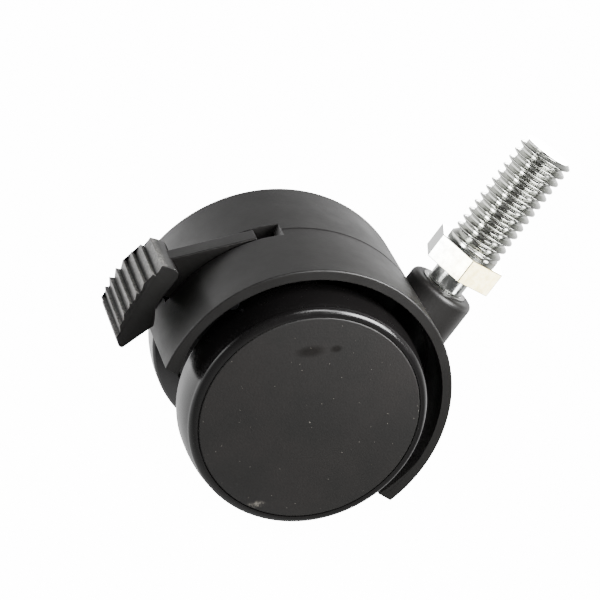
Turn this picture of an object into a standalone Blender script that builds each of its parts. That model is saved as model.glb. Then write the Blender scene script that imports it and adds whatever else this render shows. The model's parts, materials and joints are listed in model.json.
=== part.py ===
"""Twin-wheel furniture caster: a hooded nylon housing on a threaded swivel stem, with a brake lever.

The frame is in metres.  The origin is on the stem axis, on the top face of the stem's hex.
+Z runs up the stem, +Y along the axle, and +X from the axle towards the stem.
"""

from math import asin, atan2, cos, degrees, hypot, pi, radians, sin, sqrt

import bmesh
import bpy
from mathutils import Matrix, Vector

# ---- driving dimensions (metres, degrees) ----------------------------------------------------

# Overall
WHEEL_RADIUS = 0.0206        # at the crown of the tread
HOOD_HALF_WIDTH = 0.0155     # mid plane to the hood's rim
AXLE_TRAIL = 0.0156          # stem axis to axle

# Wheels
TREAD_FALL = 0.0006          # from the crown of the tread to its outer edge
TREAD_CROWN_INSET = 0.0022   # inner edge of the tread to its crown
TREAD_EDGE_ROUND = 0.0005
WHEEL_PROUD = 0.0016         # outer edge of the tread beyond the hood's rim
WHEEL_INNER = 0.0098         # mid plane to the tread's inner edge
BEAD_RADIUS = 0.0011         # round ring between tread and cap
RIM_WALL = 0.0034            # tread crown to the rim's inside
RIM_DRAFT = 0.0004           # the rim's inside narrows by this towards the web
WHEEL_WEB = 0.0020
WHEEL_HUB_WALL = 0.0026
WHEEL_HUB_INSET = 0.0005     # tread's inner edge to the hub's inner end

# Wheel caps
CAP_THICKNESS = 0.0016
CAP_EDGE_ROUND = 0.00025
CAP_SEAT_INSET = 0.0003      # bead's centre circle to the wall that holds the cap
CAP_PROUD = 0.00005          # cap beyond the bead's inner edge
CAP_ROOM = 0.0003            # axle end to the back of the cap

# Hood
HOOD_GAP = 0.0028            # tread to the hood's inside
HOOD_WALL = 0.0017
HOOD_RIM_ROUND = 0.0003
HOOD_BRAKE_END = 0.0055      # how far the hood reaches below the axle on the brake side
HOOD_STEM_END = 0.0071       # and on the stem side
HOOD_LIP_SHIFT = 0.0025      # how far the inner curve moves up where the wall thickens to its ends
WEB_THICKNESS = 0.0030

# Axle and what runs on it
AXLE_RADIUS = 0.0030
AXLE_LEAD = 0.0002           # chamfer at its ends
AXLE_TIP = 0.00045           # end of the axle to its clip groove
AXLE_FLOAT = 0.0010          # end float taken up: the axle and wheels lie towards -Y
AXLE_BOSS_WALL = 0.0032
WASHER_THICKNESS = 0.0008
WASHER_INSET = 0.0002        # washer's rim inside the hub's
CLIP_THICKNESS = 0.0005
CLIP_WIDTH = 0.0020          # axle surface to the clip's rim
CLIP_GROOVE_DEPTH = 0.0005
CLIP_MOUTH = 0.0030

# Stem
THREAD_MAJOR = 0.009525
THREAD_PITCH = 0.0015875
THREAD_DEPTH = 0.6134        # depth of a 60 degree thread, in pitches
THREAD_CREST_FLAT = 0.125    # in pitches
THREAD_ROOT_FLAT = 0.25      # in pitches
THREAD_TOP = 0.0210          # thread end above the hex
THREAD_NECK = 0.0022         # plain neck above the hex
NECK_PROUD = 0.00003         # radius of the plain neck beyond the thread's crests
THREAD_TURN = 151.0          # degrees about the stem
THREAD_LEAD = 0.0005         # chamfer at the thread's end
HEX_ACROSS_FLATS = 0.0122
HEX_HEIGHT = 0.0045
HEX_TURN = 11.0              # degrees about the stem, at rest
HEX_CHAMFER = 0.00015
SHANK_RADIUS = 0.0032
SHANK_LENGTH = 0.0172        # below the hex
SHANK_SHOWING = 0.0035       # hex to the top of the housing's boss
SHANK_LEAD = 0.0005
SHANK_GROOVE_DEPTH = 0.0007
STEM_CLIP_HEIGHT = 0.0010
STEM_CLIP_LIFT = 0.0022      # shank end to the clip's underside
STEM_CLIP_MOUTH = 0.0022

# Socket in the housing
BOSS_WALL = 0.0018
BOSS_ROUND = 0.0011
BOSS_RISE = 0.0005           # boss top above the crown of the hood
BOSS_FLOOR = 0.0019          # below the thrust disc
SLEEVE_WALL = 0.0009
SLEEVE_PROUD = 0.0002        # above the boss
SLEEVE_LEAD = 0.0003
SLEEVE_LIFT = 0.0002         # above the snap ring
THRUST_DISC_THICKNESS = 0.0011
SOCKET_EASE = 0.0002         # snap ring and thrust disc inside the socket's wall

# Brake lever
PIVOT_RADIUS = 0.0125        # axle to pivot
PIVOT_ANGLE = 148.0
LEVER_LIFT = 15.0            # travel from braked to free
ARM_THICKNESS = 0.0032
ARM_NOSE_ANGLE = 137.6       # where the arm's nose meets the hood
ARM_NOSE_PROUD = 0.0001
ARM_FOOT = 0.0006            # arm's lower edge above the axle
ARM_NECK = 0.0012            # pivot to the top and bottom corners of the arm, along X
ARM_KNEE = 0.0059            # pivot to the arm's lower corner, along X
ARM_TAIL = 0.0016            # how far the arm runs into the pad
ARM_HUB_RADIUS = 0.0034
ARM_HUB_PROUD = 0.0001       # on each side of the arm
BRAKE_PIN_RADIUS = 0.00125
BRAKE_PIN_LEAD = 0.00015
BRAKE_BAR_RADIUS = 0.0010
BRAKE_BAR_LEAD = 0.0002
BRAKE_BAR_ANGLE = 157.5
BRAKE_BAR_INSET = 0.0032     # hood's rim to the bar's end
BRAKE_CLEARANCE = 0.0001     # bar to tread with the brake on
PEDAL_GAP = 0.0024           # hood to the pedal's inner face
PEDAL_DEPTH = 0.0048
PEDAL_TOP = 0.0066           # above the axle
PEDAL_TIP = 0.0088           # below the axle
PEDAL_TIP_ROUND = 0.0009
PEDAL_TIP_SET = 0.0016       # last ridge to the centre of the round tip
PEDAL_HALF_TOP = 0.0052
PEDAL_HALF_TIP = 0.0074
PEDAL_HEEL = ((0.0010, -0.0032), (0.0006, -0.0022), (-0.0004, -0.0005), (-0.0004, 0.0020))
PEDAL_BROW = ((0.0, -0.0012), (-0.0004, -0.0003), (-0.0012, 0.0), (-0.0024, -0.0002))
RIB_COUNT = 8
RIB_PITCH = 0.0020
RIB_DEPTH = 0.0008
RIB_CURVE = 0.0190           # radius of the ribbed face
RIB_CENTRE_RAISE = 0.0003    # centre of the ribbed face above the pad's middle
RIB_UNDERCUT = 0.12          # how far a rib's root lies above its ridge, in pitches

# Lever housing between the wheels
ARM_SIDE_GAP = 0.00045       # arm to the slot's wall
SLOT_END_ANGLE = 127.6
POCKET_MARGIN = 0.0008       # round the lever's hub and under its arm
POCKET_RISE = 0.0015         # above the lever's hub
CLEVIS_CHEEK = 0.00255       # thickness of the wall on each side of the slot
CLEVIS_WALL = 0.0020         # round the pocket
BAR_WINDOW_MARGIN = 0.0004
BAR_WINDOW_SPREAD = 2.0      # degrees beyond the bar's travel at each end

# Clearances
RUNNING = 0.00006            # radial, on a turning pin
SEATED = 0.00004             # radial, on a pressed pin
END_PLAY = 0.0001
CAP_JOINT = 0.00012
OVERRUN = 0.0002             # how far a tool stands past what it cuts or joins
THROUGH = 0.05               # length of a tool that passes right through

FINE = 48                    # steps of a large turned piece
MEDIUM = 40                  # steps of a boss
COARSE = 32                  # steps of a small piece
THREAD_STEPS = 24            # steps in a turn of the thread
MERGE = 0.000005

# ---- sizes that follow -----------------------------------------------------------------------

HOOD_INSIDE = WHEEL_RADIUS + HOOD_GAP
HOOD_RADIUS = HOOD_INSIDE + HOOD_WALL
BOSS_TOP = -HEX_HEIGHT - SHANK_SHOWING
AXLE = Vector((-AXLE_TRAIL, 0.0, BOSS_TOP - BOSS_RISE - HOOD_RADIUS))
AXLE_PLACE = AXLE - Vector((0, AXLE_FLOAT, 0))

SHANK_END = -HEX_HEIGHT - SHANK_LENGTH
STEM_CLIP_BOTTOM = SHANK_END + STEM_CLIP_LIFT
STEM_CLIP_TOP = STEM_CLIP_BOTTOM + STEM_CLIP_HEIGHT
SLEEVE_OUTER = SHANK_RADIUS + RUNNING + SLEEVE_WALL
SOCKET_RADIUS = SLEEVE_OUTER + SEATED
SOCKET_FLOOR = SHANK_END - 2 * END_PLAY - THRUST_DISC_THICKNESS
BOSS_RADIUS = SOCKET_RADIUS + BOSS_WALL

WHEEL_SHOULDER = WHEEL_RADIUS - TREAD_FALL
WHEEL_EDGE = HOOD_HALF_WIDTH + WHEEL_PROUD
CAP_SEAT_RADIUS = WHEEL_SHOULDER - BEAD_RADIUS - CAP_SEAT_INSET
CAP_FACE = WHEEL_EDGE + BEAD_RADIUS
CAP_BACK = CAP_FACE - CAP_THICKNESS
AXLE_END = CAP_BACK - CAP_ROOM
CLIP_OUTER_FACE = AXLE_END - AXLE_TIP - END_PLAY / 2
CLIP_INNER_FACE = CLIP_OUTER_FACE - CLIP_THICKNESS
HUB_OUTER = CLIP_INNER_FACE - END_PLAY
HUB_INNER = WHEEL_INNER + WHEEL_HUB_INSET
HUB_RADIUS = AXLE_RADIUS + WHEEL_HUB_WALL
WEB_INNER = HUB_OUTER - WHEEL_WEB
AXLE_BOSS_END = HUB_INNER - AXLE_FLOAT - WASHER_THICKNESS - 2 * END_PLAY

SLOT_HALF_WIDTH = ARM_THICKNESS / 2 + ARM_SIDE_GAP
CLEVIS_HALF_WIDTH = SLOT_HALF_WIDTH + CLEVIS_CHEEK
PEDAL_INSIDE = HOOD_RADIUS + PEDAL_GAP


def polar(radius, angle):
    """A point of the mid plane, given about the axle: (x, z) in the object's frame."""
    return (AXLE.x + radius * cos(radians(angle)), AXLE.z + radius * sin(radians(angle)))


PIVOT = polar(PIVOT_RADIUS, PIVOT_ANGLE)
PIVOT_PLACE = Vector((PIVOT[0], 0.0, PIVOT[1]))
BAR = polar(WHEEL_RADIUS + BRAKE_BAR_RADIUS + BRAKE_CLEARANCE, BRAKE_BAR_ANGLE)
BAR_PLACE = Vector((BAR[0], 0.0, BAR[1]))
POCKET_FOOT = AXLE.z + ARM_FOOT - POCKET_MARGIN
POCKET_END = PIVOT[0] + ARM_HUB_RADIUS + POCKET_MARGIN

# ---- materials -------------------------------------------------------------------------------

LOOKS = {
    "nylon": ((0.030, 0.029, 0.028), 0.48, 0.0),
    "gloss_nylon": ((0.022, 0.021, 0.021), 0.18, 0.0),
    "cap_nylon": ((0.045, 0.043, 0.041), 0.60, 0.0),
    "zinc": ((0.74, 0.75, 0.73), 0.22, 1.0),
    "steel": ((0.56, 0.56, 0.55), 0.30, 1.0),
    "black_steel": ((0.060, 0.060, 0.060), 0.45, 1.0),
}


def new_material(name, look):
    """A Principled material of the piece's own."""
    colour, roughness, metallic = LOOKS[look]
    material = bpy.data.materials.new(name)
    material.use_nodes = True
    shader = material.node_tree.nodes["Principled BSDF"]
    shader.inputs["Base Color"].default_value = (*colour, 1.0)
    shader.inputs["Roughness"].default_value = roughness
    shader.inputs["Metallic"].default_value = metallic
    material.diffuse_color = (*colour, 1.0)
    return material


# ---- scene helpers ---------------------------------------------------------------------------

def clear_scene():
    for item in list(bpy.data.objects):
        bpy.data.objects.remove(item, do_unlink=True)


def new_collection(name):
    collection = bpy.data.collections.new(name)
    bpy.context.scene.collection.children.link(collection)
    return collection


clear_scene()
PARTS = new_collection("twin_wheel_caster")
TOOLS = new_collection("caster_cutters")


def adopt(obj, look=None):
    """File an object as a part with its own material, or, with no look, as a cutting tool."""
    for collection in list(obj.users_collection):
        collection.objects.unlink(obj)
    if look is None:
        TOOLS.objects.link(obj)
        obj.hide_render = True
        obj.display_type = "WIRE"
    else:
        PARTS.objects.link(obj)
        obj.data.materials.clear()
        obj.data.materials.append(new_material(obj.name, look))
    return obj


def place_mesh(name, mesh, at=(0, 0, 0)):
    obj = bpy.data.objects.new(name, mesh)
    bpy.context.scene.collection.objects.link(obj)
    obj.location = at
    return obj


def smooth(mesh, angle=35.0):
    mesh.shade_smooth()
    mesh.set_sharp_from_angle(angle=radians(angle))


def turned(name, profile, steps, look=None, closed=False, at=(0, 0, 0), facing="+Z"):
    """A profile of (radius, height) points, running down its outer side, turned about local Z."""
    mesh = bpy.data.meshes.new(name)
    edges = [(i, i + 1) for i in range(len(profile) - 1)]
    if closed:
        edges.append((len(profile) - 1, 0))
    mesh.from_pydata([(r, 0.0, h) for r, h in profile], edges, [])
    obj = place_mesh(name, mesh, at)
    screw = obj.modifiers.new("Turn", "SCREW")
    screw.steps = steps
    screw.render_steps = steps
    screw.use_merge_vertices = True
    screw.merge_threshold = MERGE
    screw.use_smooth_shade = True
    obj.rotation_euler = {"+Z": (0, 0, 0), "+Y": (-pi / 2, 0, 0), "-Y": (pi / 2, 0, 0)}[facing]
    return adopt(obj, look)


def rod(name, radius, length, steps, look=None, at=(0, 0, 0), chamfer=0.0):
    """A plain pin along Y, centred on at."""
    half = length / 2
    profile = [(0, half), (radius - chamfer, half)]
    if chamfer:
        profile += [(radius, half - chamfer), (radius, chamfer - half)]
    profile += [(radius - chamfer, -half), (0, -half)]
    return turned(name, profile, steps, look, at=at, facing="+Y")


def box(name, low, high):
    """A square-cornered tool between two corners."""
    bpy.ops.mesh.primitive_cube_add(size=1.0)
    obj = bpy.context.active_object
    obj.name = name
    low, high = Vector(low), Vector(high)
    obj.data.transform(Matrix.Translation((low + high) / 2) @ Matrix.Diagonal((*(high - low), 1.0)))
    return adopt(obj)


def slab(name, outline, half_width, look=None, at=(0, 0, 0)):
    """A closed outline of (x, z) points, extruded to both sides of the mid plane."""
    bm = bmesh.new()
    face = bm.faces.new([bm.verts.new((x, -half_width, z)) for x, z in outline])
    bm.normal_update()
    if face.normal.y > 0:
        face.normal_flip()
    grown = bmesh.ops.extrude_face_region(bm, geom=[face])["geom"]
    moved = [item for item in grown if isinstance(item, bmesh.types.BMVert)]
    bmesh.ops.translate(bm, verts=moved, vec=(0, 2 * half_width, 0))
    bmesh.ops.recalc_face_normals(bm, faces=bm.faces)
    mesh = bpy.data.meshes.new(name)
    bm.to_mesh(mesh)
    bm.free()
    smooth(mesh)
    return adopt(place_mesh(name, mesh, at), look)


def combine(obj, operation, tools):
    """Join, cut or trim an object with a group of tools, all in one exact Boolean."""
    group = bpy.data.collections.new(f"{tools[0].name}_{operation.lower()}")
    TOOLS.children.link(group)
    for tool in tools:
        TOOLS.objects.unlink(tool)
        group.objects.link(tool)
    step = obj.modifiers.new(group.name, "BOOLEAN")
    step.operation = operation
    step.solver = "EXACT"
    step.operand_type = "COLLECTION"
    step.collection = group


def join(obj, *tools):
    combine(obj, "UNION", tools)


def cut(obj, *tools):
    combine(obj, "DIFFERENCE", tools)


def seal(obj):
    """Weld the hair-thin slivers that a chain of Booleans can leave."""
    weld = obj.modifiers.new("Seal", "WELD")
    weld.merge_threshold = MERGE


def arc(centre, radius, start, end, count):
    """Points from one angle to another, in degrees, both ends included."""
    angles = [radians(start + (end - start) * i / count) for i in range(count + 1)]
    return [(centre[0] + radius * cos(a), centre[1] + radius * sin(a)) for a in angles]


# ---- threaded stem ---------------------------------------------------------------------------

def thread_shape():
    """One pitch of the thread's profile: (height in pitches, radius), from one root to the next."""
    crest = THREAD_MAJOR / 2
    root = crest - THREAD_DEPTH * THREAD_PITCH
    half_root = THREAD_ROOT_FLAT / 2
    half_crest = THREAD_CREST_FLAT / 2
    return [(0.0, root), (half_root, root), (0.5 - half_crest, crest),
            (0.5 + half_crest, crest), (1.0 - half_root, root)]


def helix_solid(name):
    """A closed right-handed helical rod: rings of crest and root points that climb one pitch a turn."""
    steps = THREAD_STEPS
    low = THREAD_NECK - 1.5 * THREAD_PITCH
    turns = int((THREAD_TOP - low) / THREAD_PITCH) + 2
    bm = bmesh.new()
    strands = []
    for share, radius in thread_shape():
        strand = []
        for i in range(turns * steps + 1):
            angle = 2 * pi * i / steps
            height = low + THREAD_PITCH * (i / steps + share)
            strand.append(bm.verts.new((radius * cos(angle), radius * sin(angle), height)))
        strands.append(strand)
    for first, second in zip(strands, strands[1:]):
        for i in range(turns * steps):
            bm.faces.new((first[i], first[i + 1], second[i + 1], second[i]))
    start, last = strands[0], strands[-1]
    for i in range((turns - 1) * steps):
        bm.faces.new((last[i], last[i + 1], start[i + 1 + steps], start[i + steps]))
    bottom_rim = start[:steps + 1] + [strand[0] for strand in reversed(strands[1:])]
    top_rim = last[(turns - 1) * steps:] + [strand[-1] for strand in reversed(strands[:-1])]
    for height, rim in ((low, bottom_rim), (low + THREAD_PITCH * (turns + 0.5), top_rim)):
        centre = bm.verts.new((0, 0, height))
        for a, b in zip(rim, rim[1:] + rim[:1]):
            bm.faces.new((centre, a, b))
    bmesh.ops.recalc_face_normals(bm, faces=bm.faces)
    mesh = bpy.data.meshes.new(name)
    bm.to_mesh(mesh)
    bm.free()
    smooth(mesh)
    return adopt(place_mesh(name, mesh))


def stem_hexagon():
    bpy.ops.mesh.primitive_cylinder_add(vertices=6, radius=HEX_ACROSS_FLATS / sqrt(3), depth=HEX_HEIGHT)
    hexagon = bpy.context.active_object
    hexagon.name = "stem_hex"
    hexagon.data.transform(Matrix.Translation((0, 0, -HEX_HEIGHT / 2))
                           @ Matrix.Rotation(radians(HEX_TURN) + pi / 2, 4, "Z"))
    edge = hexagon.modifiers.new("Edges", "BEVEL")
    edge.width = HEX_CHAMFER
    edge.segments = 1
    return adopt(hexagon)


def build_stem():
    groove = SHANK_RADIUS - SHANK_GROOVE_DEPTH
    neck = THREAD_MAJOR / 2 + NECK_PROUD
    stem = turned("threaded_stem", [
        (0, THREAD_NECK),
        (neck, THREAD_NECK),
        (neck, -HEX_HEIGHT / 2),
        (SHANK_RADIUS, -HEX_HEIGHT / 2),
        (SHANK_RADIUS, STEM_CLIP_TOP + END_PLAY),
        (groove, STEM_CLIP_TOP + END_PLAY),
        (groove, STEM_CLIP_BOTTOM - END_PLAY),
        (SHANK_RADIUS, STEM_CLIP_BOTTOM - END_PLAY),
        (SHANK_RADIUS, SHANK_END + SHANK_LEAD),
        (SHANK_RADIUS - SHANK_LEAD, SHANK_END),
        (0, SHANK_END),
    ], COARSE, "zinc")
    helix_foot = THREAD_NECK - 3 * OVERRUN
    envelope = turned("thread_envelope", [
        (0, THREAD_TOP),
        (THREAD_MAJOR / 2 - THREAD_LEAD, THREAD_TOP),
        (THREAD_MAJOR / 2 + OVERRUN, THREAD_TOP - THREAD_LEAD - OVERRUN),
        (THREAD_MAJOR / 2 + OVERRUN, helix_foot),
        (0, helix_foot),
    ], COARSE)
    helix = helix_solid("thread_helix")
    helix.rotation_euler.z = radians(THREAD_TURN)
    combine(helix, "INTERSECT", [envelope])
    join(stem, stem_hexagon())
    join(stem, helix)
    seal(stem)


def split_ring(name, inner, outer, low, high, mouth, at=(0, 0, 0), facing="+Z"):
    """A spring ring with a gap of the given width."""
    ring = turned(name, [(outer, high), (outer, low), (inner, low), (inner, high)],
                  COARSE, "steel", closed=True, at=at, facing=facing)
    notch = box(f"{name}_mouth", (0, -mouth / 2, low - OVERRUN),
                (outer + OVERRUN, mouth / 2, high + OVERRUN))
    notch.location = at
    notch.rotation_euler = ring.rotation_euler
    cut(ring, notch)


def build_swivel_parts():
    ease_radius = SLEEVE_OUTER - SOCKET_EASE
    split_ring("stem_snap_ring", SHANK_RADIUS - SHANK_GROOVE_DEPTH + SEATED, ease_radius,
               STEM_CLIP_BOTTOM, STEM_CLIP_TOP, STEM_CLIP_MOUTH)
    top = BOSS_TOP + SLEEVE_PROUD
    bottom = STEM_CLIP_TOP + SLEEVE_LIFT
    inner = SHANK_RADIUS + RUNNING
    turned("socket_sleeve", [
        (inner + SLEEVE_LEAD, top),
        (SLEEVE_OUTER, top),
        (SLEEVE_OUTER, bottom),
        (inner, bottom),
        (inner, top - SLEEVE_LEAD),
    ], COARSE, "steel", closed=True)
    disc_top = SHANK_END - END_PLAY
    turned("thrust_disc", [
        (0, disc_top),
        (ease_radius, disc_top),
        (ease_radius, disc_top - THRUST_DISC_THICKNESS),
        (0, disc_top - THRUST_DISC_THICKNESS),
    ], COARSE, "steel")


# ---- housing ---------------------------------------------------------------------------------

def build_housing():
    half = HOOD_HALF_WIDTH
    rim = HOOD_RIM_ROUND
    housing = turned("housing", [
        (HOOD_RADIUS - rim, half), (HOOD_RADIUS, half - rim),
        (HOOD_RADIUS, rim - half), (HOOD_RADIUS - rim, -half),
        (HOOD_INSIDE, -half), (HOOD_INSIDE, half),
    ], FINE * 2, "nylon", closed=True, at=AXLE, facing="+Y")

    embed = HOOD_INSIDE + HOOD_WALL / 2
    lips = rod("hood_lips", embed, 2 * half - OVERRUN / 2, FINE * 2, at=AXLE)
    cut(lips, rod("lip_curve", HOOD_INSIDE, THROUGH, FINE * 2,
                  at=AXLE + Vector((0, 0, HOOD_LIP_SHIFT))))
    web = rod("web_disc", embed, WEB_THICKNESS, FINE * 2, at=AXLE)
    clevis = rod("clevis_disc", embed, 2 * CLEVIS_HALF_WIDTH, FINE * 2, at=AXLE)
    room = box("clevis_room",
               (AXLE.x - HOOD_RADIUS, -THROUGH, POCKET_FOOT - CLEVIS_WALL),
               (POCKET_END + CLEVIS_WALL, THROUGH, AXLE.z + HOOD_RADIUS))
    combine(clevis, "INTERSECT", [room])
    join(housing, lips, web, clevis)

    reach = HOOD_RADIUS + THROUGH
    cut(housing,
        box("trim_brake_side", (AXLE.x - reach, -THROUGH, AXLE.z - reach),
            (AXLE.x + OVERRUN / 2, THROUGH, AXLE.z - HOOD_BRAKE_END)),
        box("trim_stem_side", (AXLE.x - OVERRUN / 2, -THROUGH, AXLE.z - reach),
            (AXLE.x + reach, THROUGH, AXLE.z - HOOD_STEM_END)))

    crown = arc((BOSS_RADIUS - BOSS_ROUND, BOSS_TOP - BOSS_ROUND), BOSS_ROUND, 90, 0, 4)
    bottom = SOCKET_FLOOR - BOSS_FLOOR
    boss = turned("stem_boss", [(0, BOSS_TOP)] + crown + [(BOSS_RADIUS, bottom), (0, bottom)], MEDIUM)
    axle_boss = rod("axle_boss", AXLE_RADIUS + AXLE_BOSS_WALL, 2 * AXLE_BOSS_END, MEDIUM, at=AXLE)
    join(housing, boss, axle_boss)

    socket = turned("socket_bore", [
        (0, 0), (SOCKET_RADIUS, 0), (SOCKET_RADIUS, SOCKET_FLOOR), (0, SOCKET_FLOOR),
    ], COARSE)
    slot_x = polar(HOOD_RADIUS, SLOT_END_ANGLE)[0]
    slot_foot = AXLE.z + sqrt(HOOD_INSIDE ** 2 - (slot_x - AXLE.x) ** 2) + HOOD_WALL / 3
    pocket = slab("arm_slot", [
        (AXLE.x - reach, AXLE.z + reach), (slot_x, AXLE.z + reach), (slot_x, slot_foot),
        (POCKET_END, PIVOT[1] + ARM_HUB_RADIUS + POCKET_RISE),
        (POCKET_END, POCKET_FOOT), (AXLE.x - reach, POCKET_FOOT),
    ], SLOT_HALF_WIDTH)
    cut(housing, socket, pocket,
        rod("axle_bore", AXLE_RADIUS + SEATED, THROUGH, COARSE, at=AXLE),
        rod("pin_bore", BRAKE_PIN_RADIUS + SEATED, THROUGH, COARSE, at=PIVOT_PLACE),
        bar_window())
    seal(housing)


def bar_window():
    """The opening in the clevis walls that the brake bar swings through."""
    reach = hypot(BAR[0] - PIVOT[0], BAR[1] - PIVOT[1])
    start = degrees(atan2(BAR[1] - PIVOT[1], BAR[0] - PIVOT[0])) % 360
    margin = BRAKE_BAR_RADIUS + BAR_WINDOW_MARGIN
    spread = degrees(asin(margin / reach)) + BAR_WINDOW_SPREAD
    inner = arc(PIVOT, reach - margin, start + spread, start - LEVER_LIFT - spread, 8)
    outer = arc(PIVOT, reach + margin, start - LEVER_LIFT - spread, start + spread, 8)
    return slab("bar_window", inner + outer, CLEVIS_HALF_WIDTH + OVERRUN)


# ---- axle and wheels -------------------------------------------------------------------------

def build_axle():
    neck = AXLE_RADIUS - CLIP_GROOVE_DEPTH
    upper = [
        (0, AXLE_END),
        (AXLE_RADIUS - AXLE_LEAD, AXLE_END),
        (AXLE_RADIUS, AXLE_END - AXLE_LEAD),
        (AXLE_RADIUS, CLIP_OUTER_FACE + END_PLAY / 2),
        (neck, CLIP_OUTER_FACE + END_PLAY / 2),
        (neck, CLIP_INNER_FACE - END_PLAY / 2),
        (AXLE_RADIUS, CLIP_INNER_FACE - END_PLAY / 2),
    ]
    lower = [(r, -h) for r, h in reversed(upper)]
    turned("axle", upper + lower, COARSE, "steel", at=AXLE_PLACE, facing="+Y")


def tread_profile():
    """The tread from its outer edge to its inner one: it falls from a crown near the inner edge."""
    crown = WHEEL_INNER + TREAD_CROWN_INSET
    shares = (0.75, 0.5, 0.25, 0.0)
    return [(WHEEL_RADIUS - TREAD_FALL * share ** 2, crown + (WHEEL_EDGE - crown) * share)
            for share in shares]


def build_wheel(side, facing):
    """One wheel with its cap, spacer washer and retaining clip."""
    rim_inside = WHEEL_RADIUS - RIM_WALL
    edge = TREAD_EDGE_ROUND
    hub_bore = AXLE_RADIUS + RUNNING
    profile = (
        [(CAP_SEAT_RADIUS, CAP_FACE - CAP_PROUD)]
        + arc((WHEEL_SHOULDER - BEAD_RADIUS, WHEEL_EDGE), BEAD_RADIUS, 90, 0, 5)
        + tread_profile()
        + arc((WHEEL_RADIUS - edge, WHEEL_INNER + edge), edge, 0, -90, 2)
        + [(rim_inside, WHEEL_INNER),
           (rim_inside - RIM_DRAFT, WEB_INNER),
           (HUB_RADIUS, WEB_INNER),
           (HUB_RADIUS, HUB_INNER),
           (hub_bore, HUB_INNER),
           (hub_bore, HUB_OUTER),
           (rim_inside - RIM_DRAFT, HUB_OUTER),
           (rim_inside, CAP_BACK - CAP_JOINT),
           (CAP_SEAT_RADIUS, CAP_BACK - CAP_JOINT)])
    turned(f"wheel_{side}", profile, FINE, "gloss_nylon", closed=True, at=AXLE_PLACE, facing=facing)

    cap_radius = CAP_SEAT_RADIUS - CAP_JOINT
    round_edge = arc((cap_radius - CAP_EDGE_ROUND, CAP_FACE - CAP_EDGE_ROUND), CAP_EDGE_ROUND, 90, 0, 2)
    turned(f"wheel_cap_{side}", [(0, CAP_FACE)] + round_edge + [(cap_radius, CAP_BACK), (0, CAP_BACK)],
           FINE, "cap_nylon", at=AXLE_PLACE, facing=facing)

    washer_foot = AXLE_BOSS_END + END_PLAY
    turned(f"spacer_washer_{side}", [
        (HUB_RADIUS - WASHER_INSET, washer_foot + WASHER_THICKNESS),
        (HUB_RADIUS - WASHER_INSET, washer_foot),
        (hub_bore, washer_foot),
        (hub_bore, washer_foot + WASHER_THICKNESS),
    ], COARSE, "steel", closed=True, at=AXLE, facing=facing)

    split_ring(f"axle_clip_{side}", AXLE_RADIUS - CLIP_GROOVE_DEPTH + SEATED, AXLE_RADIUS + CLIP_WIDTH,
               CLIP_INNER_FACE, CLIP_OUTER_FACE, CLIP_MOUTH, at=AXLE_PLACE, facing=facing)


# ---- brake lever -----------------------------------------------------------------------------

def pedal_outline():
    """The foot pad's side view about the axle: ribbed outer face, round tip and hollow inner face."""
    middle = (PEDAL_TOP - PEDAL_TIP) / 2 + RIB_CENTRE_RAISE
    centre = (RIB_CURVE - PEDAL_INSIDE - PEDAL_DEPTH, middle)
    step = degrees(RIB_PITCH / RIB_CURVE)
    first = 180 - step * (RIB_COUNT - 1) / 2
    points = []
    for i in range(RIB_COUNT):
        angle = first + step * i
        if i:
            points += arc(centre, RIB_CURVE - RIB_DEPTH, angle - step * RIB_UNDERCUT, angle, 1)[:1]
        points += arc(centre, RIB_CURVE, angle, angle, 1)[:1]
    tip = (points[-1][0] + PEDAL_TIP_SET, PEDAL_TIP_ROUND - PEDAL_TIP)
    points += arc(tip, PEDAL_TIP_ROUND, 200, 300, 3)
    points += [(inward - PEDAL_INSIDE, height) for inward, height in PEDAL_HEEL]
    points += [(inward - PEDAL_INSIDE, PEDAL_TOP + height) for inward, height in PEDAL_BROW]
    return points


def build_pedal():
    pedal = slab("pedal_pad", [(x + AXLE.x, z + AXLE.z) for x, z in pedal_outline()], PEDAL_HALF_TOP)
    for vertex in pedal.data.vertices:
        share = (AXLE.z + PEDAL_TOP - vertex.co.z) / (PEDAL_TOP + PEDAL_TIP)
        half = PEDAL_HALF_TOP + (PEDAL_HALF_TIP - PEDAL_HALF_TOP) * share
        vertex.co.y = half if vertex.co.y > 0 else -half
    return pedal


def build_lever():
    neck_x = PIVOT[0] - ARM_NECK
    neck_half = ARM_HUB_RADIUS - OVERRUN
    tail_x = AXLE.x - PEDAL_INSIDE - ARM_TAIL
    arm = [
        polar(HOOD_RADIUS + ARM_NOSE_PROUD, ARM_NOSE_ANGLE),
        (neck_x, PIVOT[1] + neck_half),
        (neck_x, PIVOT[1] - neck_half),
        (PIVOT[0] - ARM_KNEE, AXLE.z + ARM_FOOT),
        (tail_x, AXLE.z + ARM_FOOT),
        (tail_x, AXLE.z + PEDAL_TOP - OVERRUN),
    ]
    lever = slab("brake_lever", [(x - PIVOT[0], z - PIVOT[1]) for x, z in arm], ARM_THICKNESS / 2,
                 "nylon", at=PIVOT_PLACE)
    join(lever, build_pedal())
    cut(lever, rod("lever_bar_bore", BRAKE_BAR_RADIUS + SEATED, THROUGH, COARSE, at=BAR_PLACE))
    join(lever, rod("arm_hub", ARM_HUB_RADIUS, ARM_THICKNESS + 2 * ARM_HUB_PROUD, COARSE, at=PIVOT_PLACE))
    cut(lever, rod("lever_pin_bore", BRAKE_PIN_RADIUS + RUNNING, THROUGH, COARSE, at=PIVOT_PLACE))
    seal(lever)
    rod("brake_pivot_pin", BRAKE_PIN_RADIUS, 2 * (CLEVIS_HALF_WIDTH - END_PLAY), COARSE, "steel",
        at=PIVOT_PLACE, chamfer=BRAKE_PIN_LEAD)
    rod("brake_bar", BRAKE_BAR_RADIUS, 2 * (HOOD_HALF_WIDTH - BRAKE_BAR_INSET), COARSE, "black_steel",
        at=BAR_PLACE, chamfer=BRAKE_BAR_LEAD)


# ---- what moves with what --------------------------------------------------------------------

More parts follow.
